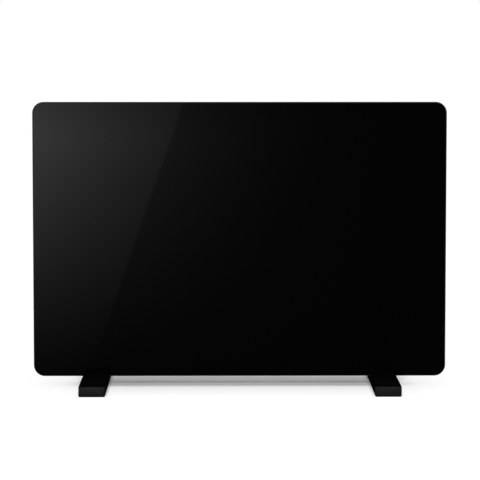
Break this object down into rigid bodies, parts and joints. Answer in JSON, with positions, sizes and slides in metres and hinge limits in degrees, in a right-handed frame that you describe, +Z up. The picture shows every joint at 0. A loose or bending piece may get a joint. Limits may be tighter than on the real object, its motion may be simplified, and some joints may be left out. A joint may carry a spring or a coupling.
{
  "type": "glass panel heater",
  "caption": "Free-standing convector heater: black glass front with round corners over a shallow steel casing with grilles, side controls and two flat foot bars.",
  "frame": {"origin": "on the floor, under the middle of the overall box", "axes": "+Z up, the glass faces -Y, +X to the right seen from the front"},
  "size_m": [0.74, 0.25, 0.513],
  "materials": {
    "black_glass": "polished toughened glass, printed black on its back",
    "silicone": "cured silicone",
    "black_steel": "fine textured black powder coat",
    "galvanised_steel": "galvanised sheet",
    "aluminium": "extruded, bare",
    "sheath_steel": "heat-tinted steel sheath",
    "white_ceramic": "unglazed steatite",
    "zinc_steel": "zinc plated",
    "black_screw": "blackened steel",
    "black_plastic": "moulded, fine matt texture",
    "gloss_black_plastic": "moulded, glossy",
    "grey_plastic": "moulded",
    "amber_lens": "clear amber moulding",
    "brown_lead": "insulated wire",
    "black_lead": "insulated wire",
    "blue_lead": "insulated wire",
    "foot_plastic": "moulded, satin black",
    "black_rubber": "moulded rubber"
  },
  "bodies": {
    "heater": {"glass_panel": "black_glass", "bond_strip_top": "silicone", "bond_strip_bottom": "silicone", "bond_strip_left": "silicone", "bond_strip_right": "silicone", "front_frame": "black_steel", "heat_shield": "galvanised_steel", "casing_shell": "black_steel", "back_panel": "black_steel", "outlet_grille": "black_steel", "inlet_grille": "black_steel", "side_screw_1": "black_screw", "side_screw_2": "black_screw", "side_screw_3": "black_screw", "side_screw_4": "black_screw", "back_screw_1": "black_screw", "back_screw_2": "black_screw", "back_screw_3": "black_screw", "back_screw_4": "black_screw", "element_profile": "aluminium", "element_rod": "sheath_steel", "ceramic_bush_left": "white_ceramic", "ceramic_bush_right": "white_ceramic", "element_holder_left": "galvanised_steel", "element_holder_right": "galvanised_steel", "element_terminal_left": "zinc_steel", "element_terminal_right": "zinc_steel", "cutout_bracket": "galvanised_steel", "thermal_cutout": "zinc_steel", "partition": "galvanised_steel", "control_panel": "black_plastic", "thermostat": "grey_plastic", "switch_housing_upper": "black_plastic", "switch_housing_lower": "black_plastic", "indicator_lamp": "amber_lens", "tilt_switch": "grey_plastic", "terminal_block": "grey_plastic", "cord_gland": "black_plastic", "gland_nut": "black_plastic", "lead_feed": "brown_lead", "lead_thermostat": "black_lead", "lead_element": "black_lead", "lead_return": "blue_lead", "foot_left": "foot_plastic", "foot_right": "foot_plastic", "foot_bracket_left": "galvanised_steel", "foot_bracket_right": "galvanised_steel", "foot_pad_left_front": "black_rubber", "foot_pad_left_rear": "black_rubber", "foot_pad_right_front": "black_rubber", "foot_pad_right_rear": "black_rubber", "foot_screw_1": "zinc_steel", "foot_screw_2": "zinc_steel", "foot_screw_3": "zinc_steel", "foot_screw_4": "zinc_steel"},
    "thermostat_dial": {"thermostat_knob": "black_plastic", "thermostat_shaft": "zinc_steel"},
    "upper_rocker": {"switch_rocker_upper": "gloss_black_plastic"},
    "lower_rocker": {"switch_rocker_lower": "gloss_black_plastic"}
  },
  "joints": [
    {"name": "thermostat_turn", "type": "hinge", "parent": "heater", "child": "thermostat_dial", "pos_m": [0.298, 0.0219, 0.421], "axis": [-1, 0, 0], "range_deg": [0, 270]},
    {"name": "upper_switch_tilt", "type": "hinge", "parent": "heater", "child": "upper_rocker", "pos_m": [0.296, 0.0219, 0.373], "axis": [0, -1, 0], "range_deg": [0, 18]},
    {"name": "lower_switch_tilt", "type": "hinge", "parent": "heater", "child": "lower_rocker", "pos_m": [0.296, 0.0219, 0.335], "axis": [0, -1, 0], "range_deg": [0, 18]}
  ]
}
